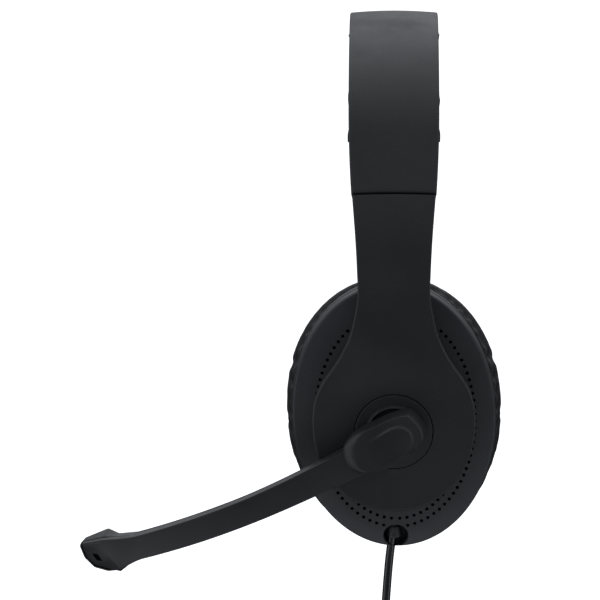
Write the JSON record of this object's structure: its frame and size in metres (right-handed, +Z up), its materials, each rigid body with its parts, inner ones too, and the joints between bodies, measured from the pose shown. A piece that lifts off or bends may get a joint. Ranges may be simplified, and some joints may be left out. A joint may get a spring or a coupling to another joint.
{
  "type": "over-ear office headset",
  "caption": "Over-ear stereo headset with padded height-adjustable band, tilting oval ear cups and a swinging microphone boom.",
  "frame": {"origin": "middle of the flat rest on the underside of the headband pad, below the crown, where the headset sits on a head or hangs on a hook", "axes": "+Z up along the headset's height, +X towards the wearer's left ear (the side with the boom and the cable), -Y towards the wearer's nose"},
  "size_m": [0.1656, 0.1565, 0.3149],
  "materials": {
    "steel": "bright rolled steel",
    "nickel": "nickel plate",
    "copper": "tinned and enamelled copper leads",
    "leatherette": "black leatherette with fine grain",
    "cable_jacket": "smooth black cable jacket",
    "soft_rubber": "matte black moulded rubber",
    "cloth": "black knitted cloth and felt",
    "acetal": "natural acetal",
    "film": "clear amber film",
    "satin_shell": "dark grey satin moulded plastic with a fine spark texture",
    "matte_shell": "near-black matte moulded plastic with a fine spark texture"
  },
  "bodies": {
    "headband": {"crossover_cable": "cable_jacket", "headband_cushion": "leatherette", "headband_liner": "matte_shell", "headband_shell": "satin_shell", "headband_spring": "steel", "left_band_end_cover": "matte_shell", "left_band_end_screw": "steel", "left_detent_spring": "steel", "right_band_end_cover": "matte_shell", "right_band_end_screw": "steel", "right_detent_spring": "steel"},
    "left_arm": {"left_arm_inner": "matte_shell", "left_arm_outer": "matte_shell", "left_arm_screw": "steel", "left_slider_strip": "steel"},
    "left_pivot": {"left_pivot_spider": "acetal"},
    "left_cup": {"cable": "cable_jacket", "left_baffle": "matte_shell", "left_cup_housing": "satin_shell", "left_cup_mount": "acetal", "left_cushion_plate": "matte_shell", "left_driver_diaphragm": "film", "left_driver_frame": "matte_shell", "left_driver_magnet": "steel", "left_ear_cushion": "leatherette", "left_ear_scrim": "cloth", "left_vent_felt": "cloth", "plug_body": "matte_shell", "plug_shell": "nickel", "strain_relief": "soft_rubber"},
    "right_arm": {"right_arm_inner": "matte_shell", "right_arm_outer": "matte_shell", "right_arm_screw": "steel", "right_cap_clip": "steel", "right_cap_washer": "acetal", "right_disc_cap": "matte_shell", "right_slider_strip": "steel"},
    "right_pivot": {"right_pivot_spider": "acetal"},
    "right_cup": {"right_baffle": "matte_shell", "right_cup_housing": "satin_shell", "right_cup_mount": "acetal", "right_cushion_plate": "matte_shell", "right_driver_diaphragm": "film", "right_driver_frame": "matte_shell", "right_driver_magnet": "steel", "right_ear_cushion": "leatherette", "right_ear_scrim": "cloth", "right_vent_felt": "cloth"},
    "boom": {"boom_clip": "steel", "boom_disc": "matte_shell", "boom_friction_washer": "acetal", "boom_inner": "matte_shell", "boom_outer": "matte_shell", "boom_wire": "copper", "mic_boot": "soft_rubber", "mic_cover": "matte_shell", "mic_element": "nickel", "mic_grille": "cloth"}
  },
  "joints": [
    {"name": "left_height", "type": "slide", "parent": "headband", "child": "left_arm", "axis": [0.225, 0, -0.9744], "range_m": [0, 0.026]},
    {"name": "left_tilt", "type": "hinge", "parent": "left_arm", "child": "left_pivot", "pos_m": [0.06062, 0, -0.14075], "axis": [0, 1, 0], "range_deg": [-7, 3]},
    {"name": "left_swivel", "type": "hinge", "parent": "left_pivot", "child": "left_cup", "pos_m": [0.06062, 0, -0.14075], "axis": [0.3007, 0, 0.9537], "range_deg": [-6, 6]},
    {"name": "right_height", "type": "slide", "parent": "headband", "child": "right_arm", "axis": [-0.225, 0, -0.9744], "range_m": [0, 0.026]},
    {"name": "right_tilt", "type": "hinge", "parent": "right_arm", "child": "right_pivot", "pos_m": [-0.06062, 0, -0.14075], "axis": [0, -1, 0], "range_deg": [-7, 3]},
    {"name": "right_swivel", "type": "hinge", "parent": "right_pivot", "child": "right_cup", "pos_m": [-0.06062, 0, -0.14075], "axis": [-0.3007, 0, 0.9537], "range_deg": [-6, 6]},
    {"name": "boom_rotate", "type": "hinge", "parent": "left_arm", "child": "boom", "pos_m": [0.07034, 0, -0.14382], "axis": [0.9537, 0, -0.3007], "range_deg": [-115, 40]}
  ]
}
